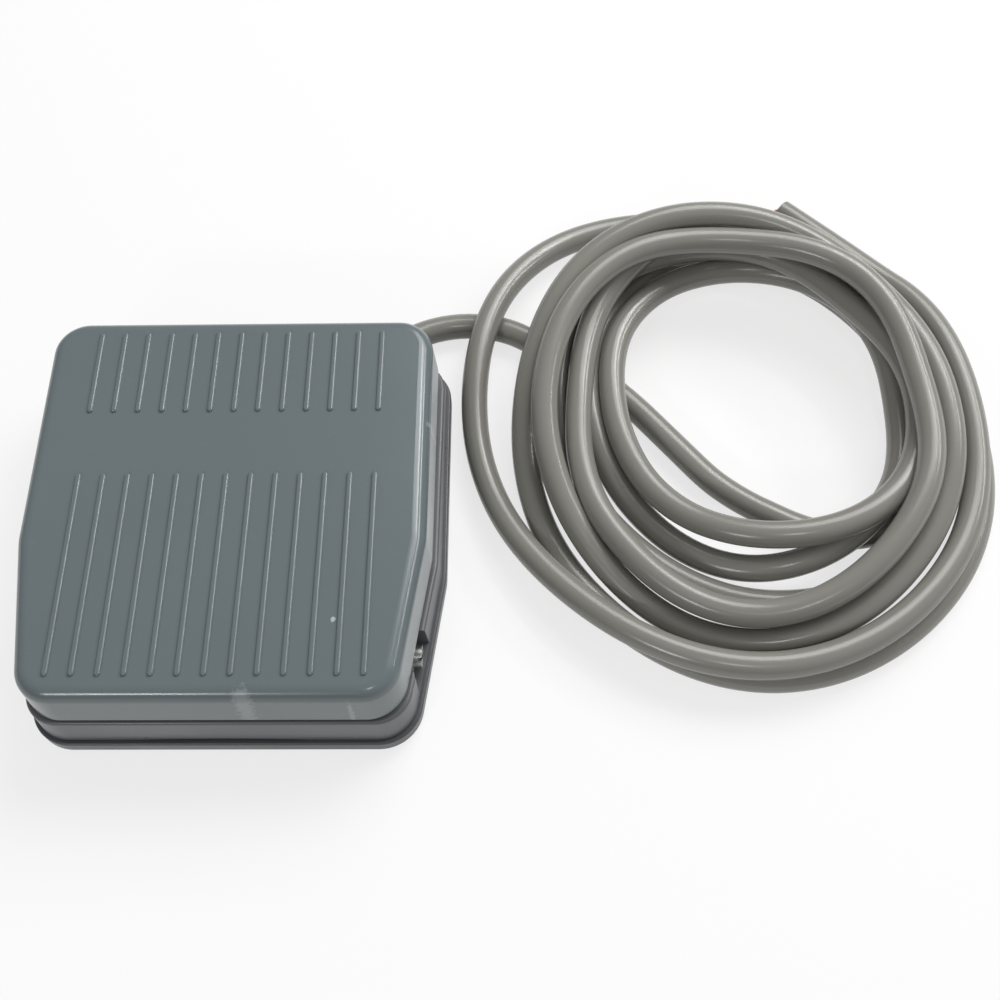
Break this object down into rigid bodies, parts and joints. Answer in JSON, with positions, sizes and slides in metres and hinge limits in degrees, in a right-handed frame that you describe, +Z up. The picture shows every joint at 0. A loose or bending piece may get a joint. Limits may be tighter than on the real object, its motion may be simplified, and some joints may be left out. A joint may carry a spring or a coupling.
{
  "type": "foot switch",
  "caption": "Low wedge-shaped foot switch with a beaded rocking pedal cover, a sprung snap-action switch inside and a round grey cord lying in a loose coil.",
  "frame": {"origin": "on the floor under the middle of the switch's base", "axes": "+X to the right, +Y to the toe end where the cord leaves, +Z up"},
  "size_m": [0.2472, 0.1624, 0.0316],
  "materials": {
    "pedal_plastic": "satin",
    "housing_plastic": "satin",
    "tray_plastic": "satin",
    "cord_sheath": "satin",
    "rubber": "matte",
    "screw_steel": "satin",
    "spring_steel": "satin",
    "nylon": "matte",
    "switch_black": "matte",
    "brass": "satin",
    "wire_brown": "satin",
    "wire_blue": "satin",
    "wire_black": "satin"
  },
  "bodies": {
    "base": {"bottom_tray": "tray_plastic", "housing": "housing_plastic", "rubber_feet": "rubber", "tray_screws": "screw_steel", "pivot_screws": "screw_steel", "return_spring": "spring_steel", "stop_pads": "rubber", "switch_case": "switch_black", "switch_cover": "switch_black", "lever_pin": "spring_steel", "switch_terminals": "brass", "switch_screws": "screw_steel", "switch_nuts": "screw_steel", "cord_grommet": "rubber", "cord_clamp": "tray_plastic", "clamp_screws": "screw_steel", "wire_brown": "wire_brown", "wire_blue": "wire_blue", "wire_black": "wire_black", "cord_lead": "cord_sheath", "cord_coil": "cord_sheath", "cord_end": "cord_sheath"},
    "pedal": {"pedal": "pedal_plastic", "pivot_bushes": "nylon"},
    "lever": {"switch_lever": "spring_steel"},
    "plunger": {"switch_plunger": "nylon"}
  },
  "joints": [
    {"name": "pedal_hinge", "type": "hinge", "parent": "base", "child": "pedal", "pos_m": [0, -0.033, 0.011], "axis": [-1, 0, 0], "range_deg": [0, 3.6], "stiffness_Nm_per_rad": 4, "springref_deg": -2.86, "deforming": ["return_spring"]},
    {"name": "lever_hinge", "type": "hinge", "parent": "base", "child": "lever", "pos_m": [0.004, -0.0136, 0.02075], "axis": [-1, 0, 0], "range_deg": [0, 7]},
    {"name": "plunger_slide", "type": "slide", "parent": "base", "child": "plunger", "axis": [0, 0, -1], "range_m": [0, 0.001]}
  ],
  "couplings": [
    {"joint": "lever_hinge", "follows": "pedal_hinge", "ratio": 1.93},
    {"joint": "plunger_slide", "follows": "pedal_hinge", "m_per_rad": 0.0156}
  ]
}
